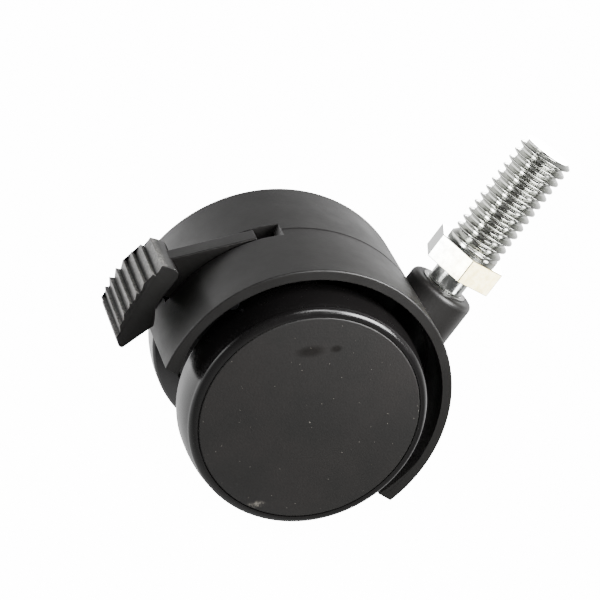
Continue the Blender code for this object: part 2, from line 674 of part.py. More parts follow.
def joint_axis(name, place, pieces, parent=None):
    """An empty on a joint's axis, which carries the pieces that turn about it."""
    axis = bpy.data.objects.new(name, None)
    axis.empty_display_size = AXLE_TRAIL
    axis.location = place
    axis.parent = parent
    PARTS.objects.link(axis)
    for piece in pieces:
        obj = bpy.data.objects[piece]
        obj.parent = axis
        obj.location = obj.location - Vector(place)
    return axis


def build_joints():
    swivel = joint_axis("swivel_axis", (0, 0, 0), [
        "housing", "socket_sleeve", "thrust_disc", "axle", "spacer_washer_left", "spacer_washer_right",
        "axle_clip_left", "axle_clip_right", "brake_pivot_pin"])
    for side in ("left", "right"):
        joint_axis(f"wheel_axis_{side}", AXLE_PLACE, [f"wheel_{side}", f"wheel_cap_{side}"], swivel)
    joint_axis("brake_axis", PIVOT_PLACE, ["brake_lever", "brake_bar"], swivel)


build_stem()
build_swivel_parts()
build_housing()
build_axle()
build_wheel("left", "+Y")
build_wheel("right", "-Y")
build_lever()
build_joints()
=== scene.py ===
"""Looks of a twin-wheel furniture caster: satin nylon hood, gloss wheels, worn pedal, zinc-plated stem.

Laid out as an add-on: property groups hold the sizes and colours, one operator builds each piece or
group of like pieces, and main() runs them in order.
"""

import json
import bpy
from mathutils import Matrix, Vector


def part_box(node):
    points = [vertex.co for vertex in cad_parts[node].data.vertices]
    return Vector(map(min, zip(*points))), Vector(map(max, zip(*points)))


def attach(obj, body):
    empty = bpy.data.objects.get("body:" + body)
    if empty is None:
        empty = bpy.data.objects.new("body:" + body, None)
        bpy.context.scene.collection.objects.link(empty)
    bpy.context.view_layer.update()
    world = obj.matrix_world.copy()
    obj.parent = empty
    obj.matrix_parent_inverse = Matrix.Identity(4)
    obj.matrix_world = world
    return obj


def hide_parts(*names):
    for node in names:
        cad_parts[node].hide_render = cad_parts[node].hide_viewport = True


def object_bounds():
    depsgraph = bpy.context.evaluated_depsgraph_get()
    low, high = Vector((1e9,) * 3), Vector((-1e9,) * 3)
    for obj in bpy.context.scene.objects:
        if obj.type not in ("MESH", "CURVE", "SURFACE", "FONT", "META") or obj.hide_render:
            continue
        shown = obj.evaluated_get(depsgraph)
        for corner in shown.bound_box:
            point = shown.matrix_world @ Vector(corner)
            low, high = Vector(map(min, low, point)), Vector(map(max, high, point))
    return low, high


bl_info = {
    "name": "Twin-Wheel Caster",
    "version": (1, 0, 0),
    "blender": (4, 5, 0),
    "location": "View3D > Sidebar > Caster",
    "description": "Builds the pieces and the finishes of a hooded twin-wheel furniture caster",
    "category": "Add Mesh",
}

from math import asin, atan2, cos, degrees, floor, hypot, pi, radians, sin, sqrt, tan

import bmesh
import bpy
from bpy.props import FloatProperty, FloatVectorProperty, IntProperty, PointerProperty
from mathutils import Matrix, Vector, noise

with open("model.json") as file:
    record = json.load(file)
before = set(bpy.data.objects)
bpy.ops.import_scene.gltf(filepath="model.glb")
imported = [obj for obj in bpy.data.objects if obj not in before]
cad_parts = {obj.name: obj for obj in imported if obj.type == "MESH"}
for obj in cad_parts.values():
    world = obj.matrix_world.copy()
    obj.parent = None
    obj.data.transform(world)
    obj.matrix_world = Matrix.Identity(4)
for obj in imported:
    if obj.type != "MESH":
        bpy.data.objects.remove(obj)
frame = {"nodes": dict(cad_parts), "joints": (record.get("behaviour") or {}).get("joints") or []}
CAD_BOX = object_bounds()

# ---- places and sizes read from the frame ----------------------------------------------------

JOINTS = {joint["name"]: joint for joint in frame["joints"]}
AXLE = Vector(JOINTS["wheel_left_spin"]["pos_m"])
PIVOT = Vector(JOINTS["brake_pivot"]["pos_m"])
LEVER_LIFT = JOINTS["brake_pivot"]["range_deg"][1]
HOOD_LOW, HOOD_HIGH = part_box("housing")
LEFT_LOW, LEFT_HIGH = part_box("wheel_left")
RIGHT_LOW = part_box("wheel_right")[0]
CAP_LOW, CAP_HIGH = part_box("wheel_cap_left")
STEM_LOW, STEM_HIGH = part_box("threaded_stem")
RING_LOW, RING_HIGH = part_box("stem_snap_ring")
DISC_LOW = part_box("thrust_disc")[0]
SLEEVE_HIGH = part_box("socket_sleeve")[1]
SHAFT_LOW, SHAFT_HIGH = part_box("axle")
PIN_LOW, PIN_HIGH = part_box("brake_pivot_pin")
BAR_LOW, BAR_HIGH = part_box("brake_bar")

HOOD_RADIUS = AXLE.x - HOOD_LOW.x
HOOD_HALF_WIDTH = HOOD_HIGH.y
BOSS_TOP = HOOD_HIGH.z
WHEEL_RADIUS = (LEFT_HIGH.x - LEFT_LOW.x) / 2
WHEEL_DRIFT = (LEFT_HIGH.y + RIGHT_LOW.y) / 2      # both wheels stand this far along Y
WHEEL_INNER = LEFT_LOW.y - WHEEL_DRIFT
CAP_FACE = LEFT_HIGH.y - WHEEL_DRIFT
CAP_RADIUS = (CAP_HIGH.x - CAP_LOW.x) / 2
CAP_THICKNESS = CAP_HIGH.y - CAP_LOW.y
AXLE_RADIUS = (SHAFT_HIGH.x - SHAFT_LOW.x) / 2
THREAD_TOP = STEM_HIGH.z
SHANK_END = STEM_LOW.z
SLEEVE_RADIUS = SLEEVE_HIGH.x
BAR = (BAR_LOW + BAR_HIGH) / 2
BAR_RADIUS = (BAR_HIGH.x - BAR_LOW.x) / 2
PIN_RADIUS = (PIN_HIGH.x - PIN_LOW.x) / 2

# ---- values shared by more than one piece, in metres -----------------------------------------

FINE = 256                         # steps of the large turned surfaces
ROUND = 96                         # steps of the small ones
OVERRUN = 0.0002                   # how far a tool stands past what it cuts or joins
THROUGH = 0.05                     # length of a tool that passes right through
SLIVER = 0.000003                  # points nearer than this are welded
SHARP = 32.0                       # edges that turn by more, in degrees, aren't shaded smooth
PRESS_FIT = 0.00004                # radial gap of what is pressed in
RUNNING_FIT = 0.00006              # radial gap of what turns
LOOSE_FIT = 0.0001                 # gap beside the snap ring and under the thrust disc
CLEVIS_HALF = 0.0046               # mid plane to the outside of the walls round the lever
HUB_RADIUS = 0.0034                # of the lever's hub
ARM_FOOT = AXLE.z + 0.0006         # underside of the lever's arm
POCKET_GAP = 0.0008                # between the lever and the pocket that it moves in
POCKET_END = PIVOT.x + HUB_RADIUS + POCKET_GAP
POCKET_FOOT = ARM_FOOT - POCKET_GAP


def hex_colour(text):
    """The linear red, green and blue of an sRGB hex colour."""
    channels = [int(text[i:i + 2], 16) / 255 for i in (1, 3, 5)]
    return tuple(c / 12.92 if c <= 0.04045 else ((c + 0.055) / 1.055) ** 2.4 for c in channels)


def length(name, description, default):
    return FloatProperty(name=name, description=description, default=default, unit="LENGTH", precision=5)


def colour(name, description, default):
    return FloatVectorProperty(name=name, description=description, subtype="COLOR", size=3, min=0.0,
                               max=1.0, default=hex_colour(default))


# ---- properties ------------------------------------------------------------------------------

class CasterHood(bpy.types.PropertyGroup):
    """Sizes of the hooded housing."""
    radius: length("Radius", "Outer radius of the hood about the axle", HOOD_RADIUS)
    wall: length("Wall", "Thickness of the hood", 0.0017)
    half_width: length("Half Width", "Mid plane to the rim", HOOD_HALF_WIDTH)
    rim_round: length("Rim Round", "Rounding of the rim's outer edge", 0.0003)
    edge_round: length("Edge Round", "Rounding of the edges left sharp by the mould", 0.00012)
    brake_end: length("Brake End", "Reach below the axle on the brake side", 0.0055)
    stem_end: length("Stem End", "Reach below the axle on the stem side", 0.0071)
    lip_shift: length("Lip Shift", "Rise of the inner curve where the wall thickens", 0.0025)
    seam_height: length("Seam Height", "Height of the moulding seam round the middle", 0.00008)
    seam_half: length("Seam Half Width", "Half the width of the moulding seam", 0.00013)
    boss_radius: length("Boss Radius", "Radius of the stem's boss", 0.0060)
    boss_round: length("Boss Round", "Rounding of the boss's top", 0.0011)
    boss_floor: length("Boss Floor", "Thickness of the boss under the thrust disc", 0.0020)
    web: length("Web", "Thickness of the web between the wheels", 0.0030)
    axle_boss_wall: length("Axle Boss Wall", "Thickness of the boss round the axle", 0.0032)
    axle_boss_half: length("Axle Boss Half Width", "Mid plane to the end of the axle's boss", 0.0083)
    clevis_end: length("Clevis End", "Reach of the lever's side walls past its pocket", 0.0020)
    pocket_rise: length("Pocket Rise", "Height of the lever's pocket over its hub", 0.0015)
    window_gap: length("Window Gap", "Gap round the brake bar in its window", 0.0004)
    slot_half: length("Slot Half Width", "Half the width of the lever's slot", 0.00205)
    slot_angle: FloatProperty(name="Slot End", description="Where the slot ends, in degrees about the axle",
                              default=127.6)


class CasterWheel(bpy.types.PropertyGroup):
    """Sizes of a wheel and its cap."""
    radius: length("Radius", "Radius at the crown of the tread", WHEEL_RADIUS)
    fall: length("Tread Fall", "Fall of the tread from its crown to its outer edge", 0.0006)
    bead: length("Bead Radius", "Radius of the ring round the cap", 0.0011)
    edge_round: length("Edge Round", "Rounding of the tread's inner edge", 0.0005)
    wall: length("Rim Wall", "Thickness of the rim", 0.0034)
    joint: length("Cap Joint", "Gap between the cap and its seat", 0.00012)
    cap_round: length("Cap Round", "Rounding of the cap's edge", 0.00025)
    seat_drop: length("Seat Drop", "Fall from the cap's face to the edge of its seat", 0.00005)
    crown: length("Crown", "Inner face to the crown of the tread", 0.0022)
    hub_wall: length("Hub Wall", "Thickness of the hub round the axle", 0.0026)
    hub_back: length("Hub Back", "Inner face to the end of the hub", 0.0005)
    web_inner: length("Web Inner", "Mid plane to the inner side of the web", 0.0132)
    web_outer: length("Web Outer", "Mid plane to the outer side of the web", 0.0152)
    draft: length("Draft", "Taper inside the rim, down to the web", 0.0004)


class CasterStem(bpy.types.PropertyGroup):
    """Sizes of the threaded stem."""
    major: length("Thread Diameter", "Diameter across the crests", 0.009525)
    pitch: length("Pitch", "Distance between crests", 0.0015875)
    turn: FloatProperty(name="Thread Turn", description="Turn of the thread, in degrees", default=151.0)
    start: length("Start", "Height that the thread's turns are counted from", 0.0022)
    runout: length("Runout", "Height above the hex where the last groove fades out", 0.0007)
    lead: length("Lead", "Chamfer at the thread's end", 0.0005)
    flats: length("Across Flats", "Width of the hex across its flats", 0.0122)
    hex_height: length("Hex Height", "Height of the hex", 0.0045)
    hex_turn: FloatProperty(name="Hex Turn", description="Turn of the hex at rest, in degrees", default=11.0)
    hex_ease: length("Hex Ease", "Rounding of the hex's edges", 0.00013)
    shank: length("Shank Radius", "Radius of the shank under the hex", 0.0032)
    groove: length("Groove", "Depth of the snap ring's groove", 0.0007)
    shank_round: length("Shank Round", "Rounding of the shank's end", 0.0005)


class CasterPedal(bpy.types.PropertyGroup):
    """Sizes of the brake lever and its foot pad."""
    gap: length("Gap", "Hood to the pad's inner face", 0.0024)
    depth: length("Depth", "Thickness of the pad at its middle", 0.0048)
    top: length("Top", "Height of the pad above the axle", 0.0066)
    tip: length("Tip", "Reach of the pad below the axle", 0.0088)
    half_top: length("Half Width at Top", "Half the pad's width at its top", 0.0052)
    half_tip: length("Half Width at Tip", "Half the pad's width at its tip", 0.0074)
    ribs: IntProperty(name="Ribs", description="Number of ribs across the pad", default=8, min=2)
    rib_pitch: length("Rib Pitch", "Distance between ribs", 0.0020)
    rib_depth: length("Rib Depth", "Depth of the steps between ribs", 0.0008)
    rib_curve: length("Rib Curve", "Radius of the ribbed face", 0.0190)
    arm: length("Arm", "Thickness of the arm", 0.0032)
    arm_ease: length("Arm Ease", "Rounding of the arm's edges", 0.00022)
    hub: length("Hub", "Radius of the hub on the pivot", HUB_RADIUS)
    pad_ease: length("Pad Ease", "Rounding of the pad's edges", 0.00010)
    tip_round: length("Tip Round", "Rounding of the pad's tip", 0.0009)
    tip_inset: length("Tip Inset", "Last rib to the centre of the tip's rounding", 0.0016)
    chip: length("Chip", "Depth of the chips along the ribs", 0.00009)


class CasterFinish(bpy.types.PropertyGroup):
    """Colours of the finishes."""
    hood: colour("Hood", "Satin moulded nylon", "#151413")
    wheel: colour("Wheel", "Polished moulded nylon", "#121111")
    cap: colour("Cap", "Fine-grained moulded nylon", "#1f1d1c")
    # This colour also paints the highlights along the lever's upward rib ledges.
    scuff: colour("Scuff", "Nylon whitened by shoes", "#b4b2ad")
    dust: colour("Dust", "Specks of dust", "#9a958c")
    zinc: colour("Zinc", "Bright zinc plate", "#b4b6b3")
    passivate: colour("Passivate", "Faint yellow of the zinc's passivation", "#b9ac72")
    steel: colour("Steel", "Turned and spring steel", "#a9a8a6")
    # Nearly black: the brake bar's colour, painted shade for the gap it sits in, and the dark of the spring
    # steel's blotches.
    black: colour("Black Oxide", "Black oxide on steel", "#2b2b2d")
    table: colour("Table", "Opal acrylic table", "#5a5a59")


class CasterSettings(bpy.types.PropertyGroup):
    """Everything that can be set on the caster."""
    hood: PointerProperty(type=CasterHood)
    wheel: PointerProperty(type=CasterWheel)
    stem: PointerProperty(type=CasterStem)
    pedal: PointerProperty(type=CasterPedal)
    finish: PointerProperty(type=CasterFinish)


# ---- mesh code -------------------------------------------------------------------------------

def rounded(corners, closed=True, segments=4):
    """A path of (x, y, fillet) corners, each fillet drawn as a short curve of its own points."""
    points = []
    count = len(corners)
    for i, (x, y, fillet) in enumerate(corners):
        ends = not closed and i in (0, count - 1)
        if fillet <= 0 or ends:
            points.append((x, y))
            continue
        here = Vector((x, y))
        before = Vector(corners[i - 1][:2]) - here
        after = Vector(corners[(i + 1) % count][:2]) - here
        room = min(before.length, after.length) * 0.48      # of each side, for one of its two fillets
        reach = min(fillet / tan(before.angle(after) / 2), room)
        start = here + before.normalized() * reach
        end = here + after.normalized() * reach
        for step in range(segments + 1):
            t = step / segments
            spot = start * (1 - t) ** 2 + here * 2 * t * (1 - t) + end * t ** 2
            points.append((spot.x, spot.y))
    return points


def arc(centre, radius, start, end, count):
    """Points from one angle to another, in degrees, both ends included."""
    angles = [radians(start + (end - start) * i / count) for i in range(count + 1)]
    return [(centre[0] + radius * cos(a), centre[1] + radius * sin(a)) for a in angles]


def about_axle(radius, angle):
    """A point of the mid plane given about the axle, as (x, z)."""
    return (AXLE.x + radius * cos(radians(angle)), AXLE.z + radius * sin(radians(angle)))


def finish_mesh(bm, name, angle=SHARP):
    """An object of a bmesh, faces out, shaded smooth up to an angle."""
    bmesh.ops.recalc_face_normals(bm, faces=bm.faces)
    mesh = bpy.data.meshes.new(name)
    bm.to_mesh(mesh)
    bm.free()
    mesh.shade_smooth()
    mesh.set_sharp_from_angle(angle=radians(angle))
    obj = bpy.data.objects.new(name, mesh)
    bpy.context.scene.collection.objects.link(obj)
    return obj


def turned(name, profile, steps, at=(0, 0, 0), facing="+Z", closed=True):
    """A profile of (radius, height) points turned about the axis that it faces along."""
    bm = bmesh.new()
    verts = [bm.verts.new((radius, 0, height)) for radius, height in profile]
    pairs = list(zip(verts, verts[1:])) + ([(verts[-1], verts[0])] if closed else [])
    edges = [bm.edges.new(pair) for pair in pairs]
    bmesh.ops.spin(bm, geom=verts + edges, cent=(0, 0, 0), axis=(0, 0, 1), angle=2 * pi, steps=steps,
                   use_merge=True)
    bmesh.ops.remove_doubles(bm, verts=bm.verts, dist=1e-7)
    turn = {"+Z": 0, "+Y": -pi / 2, "-Y": pi / 2}[facing]
    bmesh.ops.transform(bm, matrix=Matrix.Translation(at) @ Matrix.Rotation(turn, 4, "X"), verts=bm.verts)
    return finish_mesh(bm, name)


def rod(name, radius, length_along, steps, at=(0, 0, 0)):
    """A plain cylinder along Y, centred on at."""
    half = length_along / 2
    return turned(name, [(0, half), (radius, half), (radius, -half), (0, -half)], steps, at, "+Y", False)


def block(name, low, high):
    """A square-cornered tool between two corners."""
    bm = bmesh.new()
    low, high = Vector(low), Vector(high)
    place = Matrix.Translation((low + high) / 2) @ Matrix.Diagonal((*(high - low), 1.0))
    bmesh.ops.create_cube(bm, size=1.0, matrix=place)
    return finish_mesh(bm, name)


def slab(name, outline, half_width, stations=2, widths=None):
    """A closed outline of (x, z) points swept across the mid plane, in as many stations as asked."""
    bm = bmesh.new()
    rows = []
    for k in range(stations):
        share = 2 * k / (stations - 1) - 1
        rows.append([bm.verts.new((x, share * (widths(z) if widths else half_width), z))
                     for x, z in outline])
    for first, second in zip(rows, rows[1:]):
        for i in range(len(outline)):
            j = (i + 1) % len(outline)
            bm.faces.new((first[i], first[j], second[j], second[i]))
    bm.faces.new(rows[0])
    bm.faces.new(rows[-1])
    return finish_mesh(bm, name)


def combine(obj, operation, *tools):
    """Join, cut or trim with a group of tools, in one exact Boolean, and then drop the tools."""
    group = bpy.data.collections.new(f"{obj.name}_{operation.lower()}")
    for tool in tools:
        group.objects.link(tool)
    step = obj.modifiers.new(operation.title(), "BOOLEAN")
    step.operation = operation
    step.solver = "EXACT"
    step.operand_type = "COLLECTION"
    step.collection = group
    settle(obj)
    for tool in tools:
        bpy.data.objects.remove(tool, do_unlink=True)
    bpy.data.collections.remove(group)
    return obj


def round_edges(obj, width, segments=3, angle=40.0):
    """Round every edge sharper than an angle."""
    edge = obj.modifiers.new("Round", "BEVEL")
    edge.limit_method = "ANGLE"
    edge.angle_limit = radians(angle)
    edge.width = width
    edge.segments = segments
    edge.use_clamp_overlap = False
    settle(obj)
    return obj


def settle(obj):
    """Give an object the mesh that its modifiers make, with slivers welded, and drop the modifiers."""
    weld = obj.modifiers.new("Seal", "WELD")
    weld.merge_threshold = SLIVER
    bpy.context.view_layer.update()
    evaluated = obj.evaluated_get(bpy.context.evaluated_depsgraph_get())
    mesh = bpy.data.meshes.new_from_object(evaluated)
    mesh.shade_smooth()
    mesh.set_sharp_from_angle(angle=radians(SHARP))
    obj.modifiers.clear()
    old = obj.data
    obj.data = mesh
    bpy.data.meshes.remove(old)
    mesh.name = obj.name
    return obj


def paint(obj, name, value_at):
    """Store a number at every face corner, worked out from its place and its face's direction."""
    attribute = obj.data.attributes.new(name, "FLOAT", "CORNER")
    for face in obj.data.polygons:
        for corner in face.loop_indices:
            spot = obj.data.vertices[obj.data.loops[corner].vertex_index].co
            attribute.data[corner].value = value_at(spot, face.normal)


def smooth_step(low, high, value):
    share = min(1.0, max(0.0, (value - low) / (high - low)))
    return share * share * (3 - 2 * share)


def install(obj, body, material, slot, *nodes):
    """Dress a piece, make it ride on its body and stand for its CAD nodes."""
    even = obj.modifiers.new("Even Shading", "WEIGHTED_NORMAL")
    even.keep_sharp = True
    even.weight = 90
    obj.data.materials.clear()
    obj.data.materials.append(material)
    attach(obj, body)
    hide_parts(*nodes)
    return obj


# ---- materials -------------------------------------------------------------------------------

MM = 1000.0        # object coordinates are in metres; patterns are given in millimetres


def add(tree, kind, inputs=None, **settings):
    """Add a node; inputs maps each socket to a value or to the output that feeds it."""
    node = tree.nodes.new(kind)
    for key, value in settings.items():
        setattr(node, key, value)
    for key, value in (inputs or {}).items():
        if isinstance(value, bpy.types.NodeSocket):
            tree.links.new(value, node.inputs[key])
        else:
            node.inputs[key].default_value = value
    return node


def new_material(name):
    """A material with an empty tree but for its output."""
    material = bpy.data.materials.new(name)
    material.use_nodes = True
    material.node_tree.nodes.clear()
    return material, material.node_tree


def in_mm(tree, centre=(0, 0, 0)):
    """Object coordinates in millimetres from a centre."""
    place = add(tree, "ShaderNodeTexCoord").outputs["Object"]
    return add(tree, "ShaderNodeMapping", {"Vector": place, "Location": [-c * MM for c in centre],
                                          "Scale": (MM, MM, MM)}).outputs["Vector"]


def noise_value(tree, place, size, detail=3.0, roughness=0.5, distortion=0.0):
    """Noise whose features are about size millimetres across."""
    return add(tree, "ShaderNodeTexNoise", {"Vector": place, "Scale": 1 / size, "Detail": detail,
                                            "Roughness": roughness, "Distortion": distortion}
               ).outputs["Fac"]


def remap(tree, value, low, high, new_low, new_high):
    return add(tree, "ShaderNodeMapRange", {"Value": value, "From Min": low, "From Max": high,
                                            "To Min": new_low, "To Max": new_high}).outputs["Result"]


def maths(tree, operation, first, second):
    return add(tree, "ShaderNodeMath", {0: first, 1: second}, operation=operation).outputs["Value"]


def mixed(tree, factor, first, second):
    node = add(tree, "ShaderNodeMix", {"Factor": factor}, data_type="RGBA")
    for socket, value in ((node.inputs[6], first), (node.inputs[7], second)):
        if isinstance(value, bpy.types.NodeSocket):
            tree.links.new(value, socket)
        else:
            socket.default_value = (*value, 1.0)
    return node.outputs[2]


def bumped(tree, *layers, normal=None):
    """Normal of (height, depth in millimetres) layers, one over another."""
    for height, depth in layers:
        inputs = {"Height": height, "Distance": depth / MM, "Strength": 1.0}
        if normal is not None:
            inputs["Normal"] = normal
        normal = add(tree, "ShaderNodeBump", inputs).outputs["Normal"]
    return normal


def close(tree, inputs):
    """Principled shader with these inputs, to the output."""
    shader = add(tree, "ShaderNodeBsdfPrincipled", inputs)
    add(tree, "ShaderNodeOutputMaterial", {"Surface": shader.outputs["BSDF"]})


def patch(tree, place, centre, reach, turn):
    """An oval in the XZ plane with a soft edge: 1 inside, 0 outside; reach is in millimetres."""
    local = add(tree, "ShaderNodeVectorMath", {0: place, 1: [c * MM for c in centre]},
                operation="SUBTRACT").outputs["Vector"]
    turned_back = add(tree, "ShaderNodeMapping", {"Vector": local, "Rotation": (0, radians(turn), 0)}
                      ).outputs["Vector"]
    oval = add(tree, "ShaderNodeVectorMath", {0: turned_back, 1: (1 / reach[0], 1.0, 1 / reach[1])},
               operation="MULTIPLY").outputs["Vector"]
    away = add(tree, "ShaderNodeVectorMath", {0: oval}, operation="LENGTH").outputs["Value"]
    return remap(tree, away, 0.4, 1.1, 1.0, 0.0)


def specks(tree, place, spacing, size):
    """Small round specks, spacing millimetres apart on average: 1 inside, 0 outside."""
    cells = add(tree, "ShaderNodeTexVoronoi", {"Vector": place, "Scale": 1 / spacing})
    near = remap(tree, cells.outputs["Distance"], size / spacing * 0.5, size / spacing, 1.0, 0.0)
    lone = add(tree, "ShaderNodeSeparateColor", {"Color": cells.outputs["Color"]}).outputs["Red"]
    chosen = maths(tree, "GREATER_THAN", lone, 0.55)
    return maths(tree, "MULTIPLY", near, chosen)


def moulded_nylon_satin(finish, edge_round):
    """Nylon 6 moulded against a spark-eroded steel: a broad soft sheen, faintly mottled by the flow."""
    material, tree = new_material("moulded_nylon_satin")
    place = in_mm(tree)
    # Spark-eroded grain is about 0.1 mm; it is drawn at 0.35 mm so that it shows at all.
    grain = noise_value(tree, place, 0.35, 2.0)
    flow = noise_value(tree, place, 7.0, 4.0, 0.6)
    dust = specks(tree, place, 3.2, 0.11)
    eased = add(tree, "ShaderNodeBevel", {"Radius": edge_round}, samples=8).outputs["Normal"]
    tint = mixed(tree, maths(tree, "MULTIPLY", dust, 0.5), finish.hood, finish.dust)
    close(tree, {
        "Base Color": tint,
        "Roughness": remap(tree, flow, 0.3, 0.7, 0.40, 0.50),
        "IOR": 1.53,
        "Normal": bumped(tree, (flow, 0.03), (grain, 0.012), normal=eased),
    })
    return material


def polished_nylon_gloss(finish):
    """Nylon moulded against polished steel: sharp reflections, with the slight swell of a thick rim."""
    material, tree = new_material("polished_nylon_gloss")
    place = in_mm(tree)
    swell = noise_value(tree, place, 9.0, 1.0)
    rub = noise_value(tree, place, 2.5, 5.0, 0.7)
    dust = specks(tree, place, 4.0, 0.09)
    close(tree, {
        "Base Color": mixed(tree, maths(tree, "MULTIPLY", dust, 0.5), finish.wheel, finish.dust),
        "Roughness": remap(tree, rub, 0.35, 0.75, 0.19, 0.30),
        "IOR": 1.53,
        "Normal": bumped(tree, (swell, 0.025)),
    })
    return material


def grained_nylon_matt(finish):
    """Nylon moulded with a fine matt grain: dull and even, with dust in the grain and a rubbed smudge."""
    material, tree = new_material("grained_nylon_matt")
    place = in_mm(tree)
    # The real grain is about 0.15 mm; it is drawn at 0.28 mm so that it shows.
    grain = noise_value(tree, place, 0.28, 2.0, 0.6)
    cloud = noise_value(tree, place, 8.0, 4.0, 0.6)
    dust = maths(tree, "MAXIMUM", specks(tree, place, 1.1, 0.08), specks(tree, place, 4.5, 0.15))
    face = AXLE.y + WHEEL_DRIFT - CAP_FACE
    smudge = maths(tree, "MAXIMUM",
                   patch(tree, place, (AXLE.x - 0.0075, face, AXLE.z + 0.0100), (2.6, 1.1), 37),
                   patch(tree, place, (AXLE.x - 0.0041, face, AXLE.z + 0.0125), (1.1, 0.7), 37))
    scuff = patch(tree, place, (AXLE.x + 0.0018, face, AXLE.z - 0.0174), (1.6, 0.7), 37)
    broken = remap(tree, noise_value(tree, place, 0.5, 5.0, 0.8), 0.45, 0.6, 0.0, 1.0)
    rubbed = maths(tree, "MULTIPLY", smudge, remap(tree, cloud, 0.2, 0.6, 0.4, 1.0))
    scraped = maths(tree, "MULTIPLY", scuff, broken)
    plain = mixed(tree, remap(tree, cloud, 0.35, 0.65, 0.0, 1.0), finish.cap, finish.hood)
    dusty = mixed(tree, maths(tree, "MULTIPLY", dust, 0.6), plain, finish.dust)
    close(tree, {
        "Base Color": mixed(tree, maths(tree, "MULTIPLY", scraped, 0.6), dusty, finish.dust),
        "Roughness": maths(tree, "SUBTRACT", remap(tree, cloud, 0.3, 0.7, 0.50, 0.58),
                           maths(tree, "MULTIPLY", rubbed, 0.16)),
        "Specular IOR Level": maths(tree, "SUBTRACT", 0.5, maths(tree, "MULTIPLY", rubbed, 0.35)),
        "IOR": 1.53,
        "Normal": bumped(tree, (grain, 0.028)),
    })
    return material


def scuffed_nylon_painted_highlight(finish):
    """The satin nylon of the lever, whitened along its ridges where shoes have scraped it, and painted pale
    along the upward ledges of its ribs as a painted highlight.
    """
    material, tree = new_material("scuffed_nylon_painted_highlight")
    place = in_mm(tree)
    grain = noise_value(tree, place, 0.35, 2.0)
    flow = noise_value(tree, place, 5.0, 4.0, 0.6)
    scrape = noise_value(tree, place, 0.45, 6.0, 0.8, 0.8)
    long_way = add(tree, "ShaderNodeMapping", {"Vector": place, "Scale": (2.2, 0.25, 0.9)}).outputs["Vector"]
    scratch = noise_value(tree, long_way, 0.6, 4.0, 0.7)
    # Pale marks on the lever: real scuffs along the ridges, plus a painted highlight along the upward rib
    # ledges.
    wear_and_highlight = add(tree, "ShaderNodeAttribute", attribute_name="wear_and_highlight").outputs["Fac"]
    both = maths(tree, "MAXIMUM", remap(tree, scrape, 0.44, 0.56, 0.0, 1.0),
                 remap(tree, scratch, 0.56, 0.64, 0.0, 1.0))
    scuff_and_highlight = maths(tree, "MULTIPLY", wear_and_highlight, maths(tree, "MAXIMUM", both, 0.3))
    close(tree, {
        "Base Color": mixed(tree, maths(tree, "MULTIPLY", scuff_and_highlight, 0.9), finish.hood, finish.scuff),
        "Roughness": maths(tree, "ADD", remap(tree, flow, 0.3, 0.7, 0.36, 0.46),
                           maths(tree, "MULTIPLY", scuff_and_highlight, 0.15)),
        "IOR": 1.53,
        "Normal": bumped(tree, (flow, 0.03), (grain, 0.012), (scuff_and_highlight, 0.03)),
    })
    return material


def bright_zinc_plate(finish):
    """Rolled steel with bright zinc plate: mirror-like, frosted in patches, faintly yellow on one flat."""
    material, tree = new_material("bright_zinc_plate")
    place = in_mm(tree)
    marks = noise_value(tree, place, 0.25, 4.0, 0.7)
    frost = noise_value(tree, place, 1.1, 4.0, 0.7)
    yellow = add(tree, "ShaderNodeAttribute", attribute_name="yellow").outputs["Fac"]
    tone = maths(tree, "MULTIPLY", yellow, remap(tree, frost, 0.3, 0.7, 0.6, 1.0))
    close(tree, {
        "Base Color": mixed(tree, tone, finish.zinc, finish.passivate),
        "Metallic": 1.0,
        "Roughness": remap(tree, frost, 0.35, 0.7, 0.13, 0.28),
        "Normal": bumped(tree, (marks, 0.0005)),
    })
    return material


def turned_steel(finish):
    """Turned mild steel: a grey metal sheen with fine rings from the tool."""
    material, tree = new_material("turned_steel")
    place = in_mm(tree)
    rings = add(tree, "ShaderNodeTexWave", {"Vector": place, "Scale": 2.0, "Distortion": 1.5},
                bands_direction="Z").outputs["Fac"]
    close(tree, {
        "Base Color": (*finish.steel, 1.0),
        "Metallic": 1.0,
        "Roughness": remap(tree, rings, 0.0, 1.0, 0.24, 0.34),
        "Normal": bumped(tree, (rings, 0.004)),
    })
    return material


def spring_steel(finish):
    """Hardened spring strip: duller and browner than turned steel, and blotched by its tempering."""
    material, tree = new_material("spring_steel")
    blotch = noise_value(tree, in_mm(tree), 1.2, 4.0)
    close(tree, {
        "Base Color": mixed(tree, remap(tree, blotch, 0.35, 0.65, 0.0, 1.0), finish.steel, finish.black),
        "Metallic": 1.0,
        "Roughness": remap(tree, blotch, 0.3, 0.7, 0.32, 0.46),
    })
    return material


def dark_steel_painted_shade(finish):
    """Steel bar coloured nearly black as painted shade for the dark gap inside the hood that it sits in,
    with a soft metal glint.
    """
    material, tree = new_material("dark_steel_painted_shade")
    blotch = noise_value(tree, in_mm(tree), 0.9, 4.0)
    close(tree, {
        # The near-black base colour is painted shade for the gap inside the hood.
        "Base Color": (*finish.black, 1.0),
        "Metallic": 1.0,
        "Roughness": remap(tree, blotch, 0.3, 0.7, 0.38, 0.52),
    })
    return material


# ---- pieces ----------------------------------------------------------------------------------

